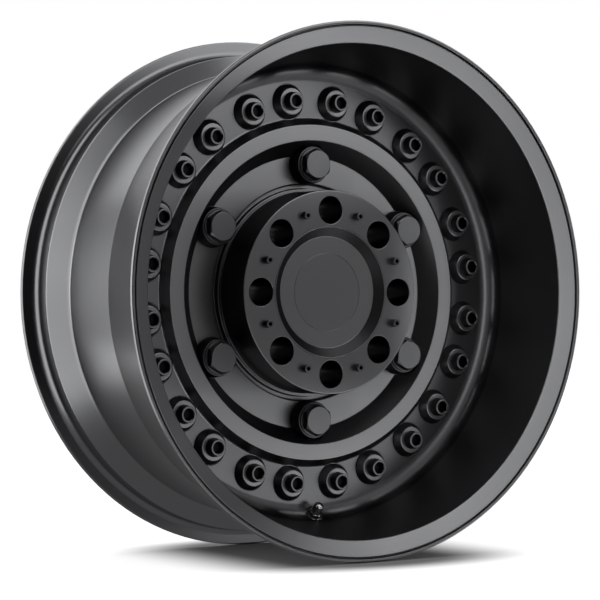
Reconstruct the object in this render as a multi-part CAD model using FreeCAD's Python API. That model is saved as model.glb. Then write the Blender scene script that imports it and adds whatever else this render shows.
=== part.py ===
"""Truck wheel: a bare 20 x 9 in cast wheel with an eight-lug hub and bolted-on trim.

Millimetres. The axle lies along Y, the street face looks along -Y and Z is up. The origin is on the axle,
half-way between the two flanges.
"""
import FreeCAD, Part
import math
import os

V = FreeCAD.Vector
AXLE = V(0, 1, 0)

# Rim flanges and bead seats
RIM_WIDTH = 228.6
BEAD_SEAT_R = 257.2
FLANGE_HEIGHT = 16.5
FLANGE_LAND = 4.8
FLANGE_EDGE_R = 1.5
FLANGE_FILLET_R = 6.5
BEAD_SEAT_WIDTH = 17.0
BEAD_TAPER_DEG = 5.0
HUMP_HEIGHT = 1.4
HUMP_WIDTH = 3.5
HUMP_EDGE_R = 2.0

# Barrel between the bead seats
BARREL_WALL = 6.5
WELL_DEPTH = 19.3
WELL_SLOPE_RUN = 16.0
WELL_CORNER_R = 5.0
CREASE_DEPTH = 14.8
CREASE_LEAD = 4.1
REAR_FACE_WIDTH = 11.0
REAR_BEVEL = 4.0

# Street-side lip
LIP_WALL = 5.7
LIP_DEPTH = 8.4
LIP_EDGE_R = 2.0
LIP_FACE_DROP = 1.4
TIP_BAND = 3.4
LIP_GROOVE_WIDTH = 2.4
LIP_GROOVE_DEPTH = 2.8

# Disc, measured forward from the mounting pad
OFFSET_INBOARD = 18.0
DISC_THICKNESS = 15.5
ANNULUS_HEIGHT = 19.8
BOLT_PLANE_RISE = 8.2
RING_RISE = 17.7
ANNULUS_WIDTH = 29.8
ANNULUS_EDGE_R = 1.5
RING_WIDTH = 16.4
RING_INNER_RUN = 15.3
RING_OUTER_RUN = 6.9
RING_FOOT_FILLET_R = 3.0
RING_EDGE_R = 0.8
DISH_FILLET_R = 16.0
BACK_FILLET_R = 12.0
BACK_CHANNEL_WIDTH = 9.0
BACK_CHANNEL_FLANK = 9.0

# Hub tower
HUB_R = 105.7
HUB_HEIGHT = 66.4
HUB_EDGE_R = 2.0
COLLAR_WIDTH = 3.5
COLLAR_RISE = 0.8
HUB_GROOVE_WIDTH = 4.4
HUB_GROOVE_DEPTH = 5.7
PAD_MARGIN = 6.3
BORE_R = 62.55
BORE_CHAMFER = 1.5

# Lug holes on the 8 x 170 circle
LUG_COUNT = 8
LUG_CIRCLE_R = 85.0
LUG_WELL_R = 14.4
LUG_HOLE_R = 8.0
LUG_SEAT_TOP_R = 12.0
LUG_SEAT_ANGLE_DEG = 60.0
LUG_LAND = 9.0
POCKET_WIDTH = 18.0
POCKET_LENGTH = 32.0
POCKET_ROOF = 20.8

# Rim screws with their conical washers
RIM_SCREW_PAIRS = 12
RIM_SCREW_PAIR_DEG = 14.0
RIM_WASHER_R = 18.3
RIM_WASHER_TOP_R = 14.0
RIM_WASHER_HEIGHT = 9.0
RIM_WASHER_FOOT = 1.2
RIM_WASHER_EDGE_R = 2.0
RIM_SPOT_DEPTH = 0.6
RIM_HEAD_R = 9.9
RIM_HEAD_END_R = 8.4
RIM_HEAD_HEIGHT = 9.2
RIM_SOCKET_FLATS = 11.0
RIM_SOCKET_DEPTH = 6.0
RIM_SHANK_R = 5.0
RIM_SHANK_DEPTH = 10.0

# Hex bolts round the hub with their tall washers
HUB_BOLT_COUNT = 6
HUB_BOLT_FIRST_DEG = 30.0
HUB_WASHER_R = 21.0
HUB_WASHER_TOP_R = 19.2
HUB_WASHER_HEIGHT = 14.4
HUB_WASHER_FOOT = 1.5
HUB_WASHER_EDGE_R = 1.0
HUB_WASHER_GAP = 3.3
HUB_BOLT_FLANGE_R = 17.2
HUB_BOLT_FLANGE_HEIGHT = 1.6
HUB_BOLT_FLATS = 29.0
HUB_BOLT_HEX_HEIGHT = 8.2
HUB_BOLT_CHAMFER_DEG = 30.0
HUB_SHANK_R = 8.0
HUB_SHANK_DEPTH = 11.0

# Small screws on the hub face
FACE_SCREW_HEAD_R = 4.0
FACE_SCREW_HEAD_HEIGHT = 7.2
FACE_SCREW_SOCKET_FLATS = 4.0
FACE_SCREW_SOCKET_DEPTH = 3.0
FACE_SCREW_SHANK_R = 2.5
FACE_SCREW_SHANK_DEPTH = 10.0

# Snap-in centre cap
CAP_R = 68.2
CAP_HEIGHT = 12.8
CAP_RIM_WIDTH = 0.8
CAP_FLOOR_R = 57.5
CAP_FLOOR_DEPTH = 7.4
CAP_SHELL = 3.0
CAP_SKIRT_DEPTH = 14.0
CAP_SKIRT_WALL = 3.2
BADGE_R = 40.2
BADGE_THICKNESS = 1.2
SPRING_WIRE_R = 1.1
SPRING_GAP_DEG = 14.0
SPRING_SEAT = 2.6

# Tyre valve in the fillet between disc and barrel
VALVE_ANGLE_DEG = 270.0
VALVE_TILT_DEG = 45.0
VALVE_WALL = 5.0
VALVE_HOLE_R = 5.75
VALVE_SPOT_R = 9.6
STEM_R = 3.85
STEM_LENGTH = 14.4
STEM_BORE_R = 1.9
STEM_FLANGE_R = 8.2
STEM_FLANGE_HEIGHT = 2.5
GROMMET_FLANGE = 2.0
VALVE_WASHER_R = 7.6
VALVE_WASHER_HEIGHT = 1.2
VALVE_NUT_FLATS = 13.0
VALVE_NUT_HEIGHT = 5.0
CORE_R = 2.5
CORE_LENGTH = 8.2
CORE_RECESS = 0.8
PIN_R = 0.75
PIN_SHANK = 1.4
POPPET_R = 1.5
POPPET_HEIGHT = 1.2
VALVE_CAP_R = 5.2
VALVE_CAP_ROOF = 1.6
VALVE_CAP_SEAL = 0.7
VALVE_CAP_LIFT = 0.6

# Clearances
FIT_GAP = 0.2
BORE_GAP = 0.35
SKIRT_GAP = 0.6
SPOT_GAP = 0.9
PIN_GAP = 0.3
TOOL_REACH = 60.0
SIDE_SHARE = 0.48

# Heights along the axle
FRONT_Y = -(RIM_WIDTH / 2 + FLANGE_LAND)
REAR_Y = -FRONT_Y
PAD_Y = OFFSET_INBOARD
FACE_Y = PAD_Y - HUB_HEIGHT
ANNULUS_Y = PAD_Y - ANNULUS_HEIGHT
RING_Y = ANNULUS_Y - RING_RISE
BOLT_Y = ANNULUS_Y - BOLT_PLANE_RISE
CREASE_Y = BOLT_Y - CREASE_LEAD
CAP_SEAT_Y = FACE_Y + CAP_HEIGHT

# Radii, outward from the hub
COLLAR_R = HUB_R + COLLAR_WIDTH
ANNULUS_IN_R = COLLAR_R + HUB_GROOVE_WIDTH
ANNULUS_OUT_R = ANNULUS_IN_R + ANNULUS_WIDTH
RING_IN_R = ANNULUS_OUT_R + RING_INNER_RUN
RING_OUT_R = RING_IN_R + RING_WIDTH
RING_FOOT_R = RING_OUT_R + RING_OUTER_RUN
FLANGE_R = BEAD_SEAT_R + FLANGE_HEIGHT
WELL_R = BEAD_SEAT_R - WELL_DEPTH
CREASE_R = BEAD_SEAT_R - CREASE_DEPTH
LIP_IN_R = BEAD_SEAT_R - LIP_WALL
CAP_POCKET_R = CAP_R + BORE_GAP
HUB_BOLT_CIRCLE_R = COLLAR_R + HUB_WASHER_GAP + HUB_WASHER_R
RIM_SPOT_R = RIM_WASHER_R + SPOT_GAP
RIM_SCREW_CIRCLE_R = RING_FOOT_R + RIM_WASHER_R + FIT_GAP


def corner_arc(before, corner, after):
    """Start, middle and end of the arc that rounds a corner, limited by the two sides that meet there."""
    point = V(corner[0], corner[1], 0)
    back = V(before[0], before[1], 0) - point
    ahead = V(after[0], after[1], 0) - point
    half = back.getAngle(ahead) / 2
    reach = min(corner[2] / math.tan(half), SIDE_SHARE * min(back.Length, ahead.Length))
    radius = reach * math.tan(half)
    back.normalize()
    ahead.normalize()
    inward = (back + ahead).normalize()
    middle = point + inward * (radius / math.sin(half) - radius)
    return point + back * reach, middle, point + ahead * reach


def turned(corners, sweep_deg=360.0):
    """Solid turned about the Y axis from a closed outline of (radius, y, corner radius) points."""
    count = len(corners)
    corners = [corner if len(corner) == 3 else (*corner, 0.0) for corner in corners]
    arcs = [corner_arc(corners[i - 1], corners[i], corners[(i + 1) % count]) for i in range(count)]
    edges = []
    for i, arc in enumerate(arcs):
        if corners[i][2] > 0:
            edges.append(Part.Arc(*arc).toShape())
        edges.append(Part.makeLine(arc[2], arcs[(i + 1) % count][0]))
    return Part.Face(Part.Wire(edges)).revolve(V(0, 0, 0), AXLE, sweep_deg)


def cylinder(radius, low, high):
    """Cylinder about the Y axis between two heights."""
    return Part.makeCylinder(radius, high - low, V(0, low, 0), AXLE)


def hexagon(flats, low, high):
    """Hexagonal prism about the Y axis between two heights, with a corner on the X axis."""
    corner_r = flats / math.sqrt(3)
    turns = [math.radians(60 * k) for k in range(7)]
    points = [V(corner_r * math.cos(t), low, corner_r * math.sin(t)) for t in turns]
    return Part.Face(Part.makePolygon(points)).extrude(V(0, high - low, 0))


def placed(shape, radius, y, angle_deg):
    """Copy of a shape made about the Y axis, set out at a radius and turned round the axle."""
    copy = shape.copy()
    copy.translate(V(radius, y, 0))
    copy.rotate(V(0, 0, 0), AXLE, -angle_deg)
    return copy


def around(shape, radius, y, angles):
    """Copies of a shape on a circle round the axle."""
    return [placed(shape, radius, y, angle) for angle in angles]


def spaced(count, first_deg):
    """Evenly spaced angles round the axle."""
    return [first_deg + 360.0 * k / count for k in range(count)]


RIM_SCREW_ANGLES = sorted(
    mid + side * RIM_SCREW_PAIR_DEG / 2
    for mid in spaced(RIM_SCREW_PAIRS, 180.0 / RIM_SCREW_PAIRS)
    for side in (-1, 1)
)
HUB_BOLT_ANGLES = spaced(HUB_BOLT_COUNT, HUB_BOLT_FIRST_DEG)
LUG_ANGLES = spaced(LUG_COUNT, 0.0)
BETWEEN_LUG_ANGLES = spaced(LUG_COUNT, 180.0 / LUG_COUNT)


def line_r(start, end, y):
    """Radius at height y on the straight line through two (radius, y) points."""
    return start[0] + (end[0] - start[0]) * (y - start[1]) / (end[1] - start[1])


def dish_corner():
    """Corner where the dish wall, run on past its fillet, meets the plane of the rim screws."""
    lip = (LIP_IN_R, FRONT_Y + LIP_DEPTH)
    crease = (CREASE_R - BARREL_WALL, CREASE_Y)
    return line_r(lip, crease, BOLT_Y), BOLT_Y


def valve_seat():
    """Point at the middle of the dish fillet where the valve axis crosses its surface."""
    corner_r, corner_y = dish_corner()
    lean = math.atan2(LIP_IN_R - corner_r, corner_y - FRONT_Y - LIP_DEPTH)
    reach = DISH_FILLET_R / math.tan((math.pi / 2 + lean) / 2)
    tilt = math.radians(VALVE_TILT_DEG)
    centre_r = corner_r - reach
    centre_y = corner_y - DISH_FILLET_R
    return centre_r + DISH_FILLET_R * math.sin(tilt), centre_y + DISH_FILLET_R * math.cos(tilt)


def set_in_valve_hole(shape):
    """Shape made about the Y axis with its seat at 0, tilted and moved to the valve hole."""
    seat_r, seat_y = valve_seat()
    copy = shape.copy()
    copy.rotate(V(0, 0, 0), V(0, 0, 1), -VALVE_TILT_DEG)
    return placed(copy, seat_r, seat_y, VALVE_ANGLE_DEG)


def casting_outline():
    """Section of the casting: bore, hub, disc face, dish, lip, outside of the barrel, and back to the pad."""
    disc_back_y = BOLT_Y + DISC_THICKNESS
    bead_drop = BEAD_SEAT_WIDTH * math.tan(math.radians(BEAD_TAPER_DEG))
    seat_end_r = BEAD_SEAT_R - bead_drop
    hump_r = seat_end_r + HUMP_HEIGHT
    front_bead_y = FRONT_Y + FLANGE_LAND
    rear_bead_y = REAR_Y - FLANGE_LAND
    front_seat_end_y = front_bead_y + BEAD_SEAT_WIDTH
    rear_seat_end_y = rear_bead_y - BEAD_SEAT_WIDTH
    well_y = rear_seat_end_y - HUMP_WIDTH - WELL_SLOPE_RUN
    slope = math.atan2(hump_r - WELL_R, WELL_SLOPE_RUN)
    shift = BARREL_WALL * math.tan(slope / 2)
    inner_well = (WELL_R - BARREL_WALL, well_y + shift)
    inner_crease = (CREASE_R - BARREL_WALL, CREASE_Y)
    tip_in_r = FLANGE_R - TIP_BAND
    groove_in_r = tip_in_r - LIP_GROOVE_WIDTH
    ring_mid_r = (RING_IN_R + RING_OUT_R) / 2
    channel_y = RING_Y + DISC_THICKNESS
    channel_in_r = ring_mid_r - BACK_CHANNEL_WIDTH / 2
    channel_out_r = ring_mid_r + BACK_CHANNEL_WIDTH / 2
    annulus_back_y = ANNULUS_Y + DISC_THICKNESS
    pad_r = HUB_R + PAD_MARGIN
    hub = [
        (BORE_R + BORE_CHAMFER, PAD_Y),
        (BORE_R, PAD_Y - BORE_CHAMFER),
        (BORE_R, CAP_SEAT_Y),
        (CAP_POCKET_R, CAP_SEAT_Y),
        (CAP_POCKET_R, FACE_Y),
        (HUB_R, FACE_Y, HUB_EDGE_R),
        (HUB_R, ANNULUS_Y - COLLAR_RISE),
        (COLLAR_R, ANNULUS_Y - COLLAR_RISE),
        (COLLAR_R, ANNULUS_Y + HUB_GROOVE_DEPTH),
        (ANNULUS_IN_R, ANNULUS_Y + HUB_GROOVE_DEPTH),
        (ANNULUS_IN_R, ANNULUS_Y, ANNULUS_EDGE_R),
    ]
    face = [
        (ANNULUS_OUT_R, ANNULUS_Y),
        (RING_IN_R, RING_Y, RING_EDGE_R),
        (RING_OUT_R, RING_Y, RING_EDGE_R),
        (RING_FOOT_R, BOLT_Y, RING_FOOT_FILLET_R),
        (*dish_corner(), DISH_FILLET_R),
    ]
    lip = [
        (LIP_IN_R, FRONT_Y + LIP_DEPTH, LIP_EDGE_R),
        (groove_in_r, FRONT_Y + LIP_FACE_DROP),
        ((groove_in_r + tip_in_r) / 2, FRONT_Y + LIP_FACE_DROP + LIP_GROOVE_DEPTH),
        (tip_in_r, FRONT_Y + LIP_FACE_DROP / 2),
        (FLANGE_R, FRONT_Y, FLANGE_EDGE_R),
    ]
    outside = [
        (FLANGE_R, front_bead_y, FLANGE_EDGE_R),
        (BEAD_SEAT_R, front_bead_y, FLANGE_FILLET_R),
        (seat_end_r, front_seat_end_y),
        (hump_r, front_seat_end_y + HUMP_WIDTH, HUMP_EDGE_R),
        (CREASE_R, CREASE_Y),
        (WELL_R, well_y, WELL_CORNER_R),
        (hump_r, rear_seat_end_y - HUMP_WIDTH, HUMP_EDGE_R),
        (seat_end_r, rear_seat_end_y),
        (BEAD_SEAT_R, rear_bead_y, FLANGE_FILLET_R),
        (FLANGE_R, rear_bead_y, FLANGE_EDGE_R),
    ]
    back = [
        (FLANGE_R, REAR_Y, FLANGE_EDGE_R),
        (FLANGE_R - REAR_FACE_WIDTH, REAR_Y),
        (BEAD_SEAT_R - BARREL_WALL, REAR_Y - REAR_BEVEL),
        (hump_r - BARREL_WALL, rear_seat_end_y - HUMP_WIDTH + shift),
        (*inner_well, WELL_CORNER_R + BARREL_WALL),
        (line_r(inner_well, inner_crease, disc_back_y), disc_back_y, BACK_FILLET_R),
        (channel_out_r + BACK_CHANNEL_FLANK, disc_back_y),
        (channel_out_r, channel_y),
        (channel_in_r, channel_y),
        (channel_in_r - BACK_CHANNEL_FLANK, annulus_back_y),
        (pad_r, annulus_back_y),
        (pad_r, PAD_Y),
    ]
    return hub + face + lip + outside + back


def lug_hole():
    """Cutter for one lug hole: nut well, conical seat and stud clearance."""
    seat_drop = (LUG_SEAT_TOP_R - LUG_HOLE_R) / math.tan(math.radians(LUG_SEAT_ANGLE_DEG / 2))
    seat_low_y = PAD_Y - LUG_LAND
    seat_top_y = seat_low_y - seat_drop
    return turned([
        (0, FACE_Y - TOOL_REACH),
        (LUG_WELL_R, FACE_Y - TOOL_REACH),
        (LUG_WELL_R, seat_top_y),
        (LUG_SEAT_TOP_R, seat_top_y),
        (LUG_HOLE_R, seat_low_y),
        (LUG_HOLE_R, PAD_Y + TOOL_REACH),
        (0, PAD_Y + TOOL_REACH),
    ])


def pad_pocket():
    """Cutter for one lightening pocket, a rounded slot in the mounting pad between two lug holes."""
    half_width = POCKET_WIDTH / 2
    half_run = POCKET_LENGTH / 2 - half_width
    roof_y = FACE_Y + POCKET_ROOF
    a = V(-half_run, roof_y, -half_width)
    b = V(half_run, roof_y, -half_width)
    c = V(half_run, roof_y, half_width)
    d = V(-half_run, roof_y, half_width)
    outline = Part.Wire([
        Part.makeLine(a, b),
        Part.Arc(b, V(half_run + half_width, roof_y, 0), c).toShape(),
        Part.makeLine(c, d),
        Part.Arc(d, V(-half_run - half_width, roof_y, 0), a).toShape(),
    ])
    return Part.Face(outline).extrude(V(0, PAD_Y + TOOL_REACH - roof_y, 0))


def spring_groove():
    """Cutter for the groove in the bore that the cap's spring wire snaps into, open past the skirt's end."""
    spring_y = spring_height()
    skirt_end_y = CAP_SEAT_Y + CAP_SKIRT_DEPTH
    groove_r = BORE_R + SPRING_WIRE_R
    return turned([
        (BORE_R - BORE_GAP, spring_y - 2 * SPRING_WIRE_R),
        (groove_r, spring_y - SPRING_WIRE_R / 2),
        (groove_r, spring_y + SPRING_WIRE_R / 2),
        (BORE_R, skirt_end_y + SKIRT_GAP),
        (BORE_R - BORE_GAP, skirt_end_y + SKIRT_GAP),
    ])


def valve_hole():
    """Cutter for the valve: spot face in the dish, hole, and counterbore from the tyre side."""
    return turned([
        (0, -TOOL_REACH / 2),
        (VALVE_SPOT_R, -TOOL_REACH / 2),
        (VALVE_SPOT_R, 0),
        (VALVE_HOLE_R, 0),
        (VALVE_HOLE_R, VALVE_WALL),
        (VALVE_SPOT_R, VALVE_WALL),
        (VALVE_SPOT_R, VALVE_WALL + TOOL_REACH),
        (0, VALVE_WALL + TOOL_REACH),
    ])


def wheel_casting():
    """One-piece cast wheel with every hole, seat and pocket cut."""
    rim_seat_y = BOLT_Y + RIM_SPOT_DEPTH
    rim_hole = cylinder(RIM_SHANK_R, 0, RIM_SHANK_DEPTH + FIT_GAP)
    rim_spot = cylinder(RIM_SPOT_R, BOLT_Y - RING_RISE, rim_seat_y)
    hub_spot = cylinder(HUB_WASHER_R + SPOT_GAP, RING_Y - RING_RISE, ANNULUS_Y)
    hub_hole = cylinder(HUB_SHANK_R, 0, HUB_SHANK_DEPTH + FIT_GAP)
    face_hole = cylinder(FACE_SCREW_SHANK_R, 0, FACE_SCREW_SHANK_DEPTH + FIT_GAP)
    cutters = around(rim_spot, RIM_SCREW_CIRCLE_R, 0, RIM_SCREW_ANGLES)
    cutters += around(rim_hole, RIM_SCREW_CIRCLE_R, rim_seat_y, RIM_SCREW_ANGLES)
    cutters += around(hub_spot, HUB_BOLT_CIRCLE_R, 0, HUB_BOLT_ANGLES)
    cutters += around(hub_hole, HUB_BOLT_CIRCLE_R, ANNULUS_Y, HUB_BOLT_ANGLES)
    cutters += around(lug_hole(), LUG_CIRCLE_R, 0, LUG_ANGLES)
    cutters += around(face_hole, LUG_CIRCLE_R, FACE_Y, BETWEEN_LUG_ANGLES)
    cutters += around(pad_pocket(), LUG_CIRCLE_R, 0, BETWEEN_LUG_ANGLES)
    cutters.append(spring_groove())
    cutters.append(set_in_valve_hole(valve_hole()))
    return turned(casting_outline()).cut(cutters)


def rim_washers():
    """Conical washers that carry the rim screws, seated in their spot faces."""
    washer = turned([
        (RIM_SHANK_R + FIT_GAP, 0),
        (RIM_WASHER_R, 0),
        (RIM_WASHER_R, -RIM_WASHER_FOOT),
        (RIM_WASHER_TOP_R, -RIM_WASHER_HEIGHT, RIM_WASHER_EDGE_R),
        (RIM_SHANK_R + FIT_GAP, -RIM_WASHER_HEIGHT),
    ])
    return around(washer, RIM_SCREW_CIRCLE_R, BOLT_Y + RIM_SPOT_DEPTH, RIM_SCREW_ANGLES)


def socket_screw(head_r, end_r, head_height, flats, socket_depth, shank_r, shank_length):
    """Socket-head screw with the underside of its head at 0 and a head that tapers to its end."""
    body = turned([
        (0, -head_height),
        (end_r, -head_height),
        (head_r, 0),
        (shank_r, 0),
        (shank_r, shank_length),
        (0, shank_length),
    ])
    return body.cut(hexagon(flats, -head_height - TOOL_REACH, socket_depth - head_height))


def rim_screws():
    """Tapered socket screws through the conical washers into the disc."""
    screw = socket_screw(
        RIM_HEAD_R, RIM_HEAD_END_R, RIM_HEAD_HEIGHT, RIM_SOCKET_FLATS, RIM_SOCKET_DEPTH,
        RIM_SHANK_R, RIM_WASHER_HEIGHT + RIM_SHANK_DEPTH,
    )
    head_y = BOLT_Y + RIM_SPOT_DEPTH - RIM_WASHER_HEIGHT
    return around(screw, RIM_SCREW_CIRCLE_R, head_y, RIM_SCREW_ANGLES)


def hub_washers():
    """Tall tapered washers under the hex bolts."""
    washer = turned([
        (HUB_SHANK_R + FIT_GAP, 0),
        (HUB_WASHER_R, 0),
        (HUB_WASHER_R, -HUB_WASHER_FOOT),
        (HUB_WASHER_TOP_R, -HUB_WASHER_HEIGHT, HUB_WASHER_EDGE_R),
        (HUB_SHANK_R + FIT_GAP, -HUB_WASHER_HEIGHT),
    ])
    return around(washer, HUB_BOLT_CIRCLE_R, ANNULUS_Y, HUB_BOLT_ANGLES)


def hub_bolts():
    """Flanged hex bolts with a chamfered top, on their washers."""
    under_y = -HUB_BOLT_FLANGE_HEIGHT
    top_y = under_y - HUB_BOLT_HEX_HEIGHT
    corner_r = HUB_BOLT_FLATS / math.sqrt(3)
    flat_r = HUB_BOLT_FLATS / 2
    chamfer_drop = (corner_r - flat_r) * math.tan(math.radians(HUB_BOLT_CHAMFER_DEG)) * 2
    envelope = turned([
        (0, top_y),
        (flat_r - (corner_r - flat_r), top_y),
        (corner_r, top_y + chamfer_drop),
        (corner_r, under_y),
        (0, under_y),
    ])
    stem = turned([
        (0, under_y),
        (HUB_BOLT_FLANGE_R, under_y),
        (HUB_BOLT_FLANGE_R, 0),
        (HUB_SHANK_R, 0),
        (HUB_SHANK_R, HUB_WASHER_HEIGHT + HUB_SHANK_DEPTH),
        (0, HUB_WASHER_HEIGHT + HUB_SHANK_DEPTH),
    ])
    bolt = hexagon(HUB_BOLT_FLATS, top_y, under_y).common(envelope).fuse(stem).removeSplitter()
    return around(bolt, HUB_BOLT_CIRCLE_R, ANNULUS_Y - HUB_WASHER_HEIGHT, HUB_BOLT_ANGLES)


def face_screws():
    """Small socket screws between the lug wells."""
    screw = socket_screw(
        FACE_SCREW_HEAD_R, FACE_SCREW_HEAD_R, FACE_SCREW_HEAD_HEIGHT, FACE_SCREW_SOCKET_FLATS,
        FACE_SCREW_SOCKET_DEPTH, FACE_SCREW_SHANK_R, FACE_SCREW_SHANK_DEPTH,
    )
    return around(screw, LUG_CIRCLE_R, FACE_Y, BETWEEN_LUG_ANGLES)


def spring_height():
    """Height of the cap's spring wire along the axle."""
    return CAP_SEAT_Y + CAP_SKIRT_DEPTH - SPRING_SEAT - SPRING_WIRE_R


def centre_cap():
    """Dished cap with a skirt that carries the spring wire."""
    floor_y = FACE_Y + CAP_FLOOR_DEPTH
    recess_y = floor_y + BADGE_THICKNESS
    skirt_r = BORE_R - BORE_GAP
    skirt_end_y = CAP_SEAT_Y + CAP_SKIRT_DEPTH
    groove_r = skirt_r - SPRING_WIRE_R - FIT_GAP
    groove_half = SPRING_WIRE_R + FIT_GAP
    spring_y = spring_height()
    return turned([
        (0, recess_y),
        (BADGE_R + FIT_GAP, recess_y),
        (BADGE_R + FIT_GAP, floor_y),
        (CAP_FLOOR_R, floor_y),
        (CAP_R - CAP_RIM_WIDTH, FACE_Y),
        (CAP_R, FACE_Y),
        (CAP_R, CAP_SEAT_Y),
        (skirt_r, CAP_SEAT_Y),
        (skirt_r, spring_y - groove_half),
        (groove_r, spring_y - groove_half),
        (groove_r, spring_y + groove_half),
        (skirt_r, spring_y + groove_half),
        (skirt_r, skirt_end_y),
        (skirt_r - CAP_SKIRT_WALL, skirt_end_y),
        (skirt_r - CAP_SKIRT_WALL, recess_y + CAP_SHELL),
        (0, recess_y + CAP_SHELL),
    ])


def cap_badge():
    """Blank disc let into the floor of the cap."""
    floor_y = FACE_Y + CAP_FLOOR_DEPTH
    return cylinder(BADGE_R, floor_y, floor_y + BADGE_THICKNESS)


def cap_spring():
    """Split wire ring in the skirt's groove that snaps into the bore."""
    wire_r = BORE_R - BORE_GAP
    section = Part.makeCircle(SPRING_WIRE_R, V(wire_r, spring_height(), 0), V(0, 0, 1))
    ring = Part.Face(Part.Wire([section])).revolve(V(0, 0, 0), AXLE, 360 - SPRING_GAP_DEG)
    ring.rotate(V(0, 0, 0), AXLE, -VALVE_ANGLE_DEG)
    return ring


def valve_stem():
    """Stem of the tyre valve: flange on the tyre side, tube through the hole, seat for the core."""
    flange_y = VALVE_WALL + GROMMET_FLANGE
    end_y = flange_y + STEM_FLANGE_HEIGHT
    core_end_y = CORE_RECESS + CORE_LENGTH - STEM_LENGTH
    return turned([
        (STEM_BORE_R, end_y),
        (STEM_BORE_R, core_end_y),
        (CORE_R + FIT_GAP / 2, core_end_y),
        (CORE_R + FIT_GAP / 2, -STEM_LENGTH),
        (STEM_R, -STEM_LENGTH),
        (STEM_R, flange_y),
        (STEM_FLANGE_R, flange_y),
        (STEM_FLANGE_R, end_y),
    ])


def valve_grommet():
    """Rubber seal between the stem's flange and the rim, with a sleeve in the hole."""
    inner_r = STEM_R + FIT_GAP
    return turned([
        (inner_r, VALVE_WALL + GROMMET_FLANGE),
        (STEM_FLANGE_R, VALVE_WALL + GROMMET_FLANGE),
        (STEM_FLANGE_R, VALVE_WALL),
        (VALVE_HOLE_R - FIT_GAP, VALVE_WALL),
        (VALVE_HOLE_R - FIT_GAP, FIT_GAP),
        (inner_r, FIT_GAP),
    ])


def valve_washer():
    """Flat washer on the spot face in the dish."""
    inner_r = STEM_R + FIT_GAP
    return turned([
        (inner_r, 0),
        (VALVE_WASHER_R, 0),
        (VALVE_WASHER_R, -VALVE_WASHER_HEIGHT),
        (inner_r, -VALVE_WASHER_HEIGHT),
    ])


def valve_nut():
    """Hex nut that clamps the stem."""
    top_y = -VALVE_WASHER_HEIGHT - VALVE_NUT_HEIGHT
    nut = hexagon(VALVE_NUT_FLATS, top_y, -VALVE_WASHER_HEIGHT)
    return nut.cut(cylinder(STEM_R + FIT_GAP, top_y, -VALVE_WASHER_HEIGHT))


def valve_core():
    """Valve core cartridge screwed into the stem."""
    top_y = CORE_RECESS - STEM_LENGTH
    return cylinder(CORE_R, top_y, top_y + CORE_LENGTH).cut(cylinder(PIN_R + FIT_GAP, top_y, top_y + CORE_LENGTH))


def valve_core_pin():
    """Sprung pin of the core, with the poppet that closes the core's inner end."""
    core_end_y = CORE_RECESS + CORE_LENGTH - STEM_LENGTH
    poppet_y = core_end_y + PIN_GAP
    poppet_end_y = poppet_y + POPPET_HEIGHT
    return turned([
        (0, PIN_GAP - STEM_LENGTH),
        (PIN_R, PIN_GAP - STEM_LENGTH),
        (PIN_R, poppet_y),
        (POPPET_R, poppet_y),
        (POPPET_R, poppet_end_y),
        (PIN_R, poppet_end_y),
        (PIN_R, poppet_end_y + PIN_SHANK),
        (0, poppet_end_y + PIN_SHANK),
    ])


def valve_cap():
    """Screw-on dust cap over the stem."""
    mouth_y = -VALVE_WASHER_HEIGHT - VALVE_NUT_HEIGHT - VALVE_CAP_LIFT
    inside_y = -STEM_LENGTH - VALVE_CAP_SEAL
    inner_r = STEM_R + FIT_GAP
    return turned([
        (0, inside_y - VALVE_CAP_ROOF),
        (VALVE_CAP_R, inside_y - VALVE_CAP_ROOF, VALVE_CAP_ROOF / 2),
        (VALVE_CAP_R, mouth_y),
        (inner_r, mouth_y),
        (inner_r, inside_y),
        (0, inside_y),
    ])


def valve_cap_seal():
    """Rubber disc inside the dust cap that closes the end of the stem."""
    return cylinder(STEM_R, -STEM_LENGTH - VALVE_CAP_SEAL, -STEM_LENGTH)


NODES = {
    "wheel_casting": [wheel_casting()],
    "rim_bolt_washers": rim_washers(),
    "rim_bolts": rim_screws(),
    "hub_bolt_washers": hub_washers(),
    "hub_bolts": hub_bolts(),
    "face_screws": face_screws(),
    "centre_cap": [centre_cap()],
    "cap_badge": [cap_badge()],
    "cap_spring_ring": [cap_spring()],
    "valve_stem": [set_in_valve_hole(valve_stem())],
    "valve_grommet": [set_in_valve_hole(valve_grommet())],
    "valve_washer": [set_in_valve_hole(valve_washer())],
    "valve_nut": [set_in_valve_hole(valve_nut())],
    "valve_core": [set_in_valve_hole(valve_core())],
    "valve_core_pin": [set_in_valve_hole(valve_core_pin())],
    "valve_cap": [set_in_valve_hole(valve_cap())],
    "valve_cap_seal": [set_in_valve_hole(valve_cap_seal())],
}

os.makedirs("parts", exist_ok=True)
for name, solids in NODES.items():
    shape = solids[0] if len(solids) == 1 else Part.makeCompound(solids)
    shape.exportStep("parts/" + name + ".step")
    print(name, len(shape.Solids), "solids", round(shape.Volume), "mm3", shape.isValid())
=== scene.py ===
"""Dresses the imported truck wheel: finely rounded meshes, satin coats, a pale studio and the camera.

Sizes are millimetres in the wheel's own frame: the axle lies along Y, the street face looks along -Y and Z is up.
"""
import logging
import math
from dataclasses import dataclass
from enum import Enum
from typing import NamedTuple, Sequence

import bpy
from mathutils import Matrix, Vector


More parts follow.
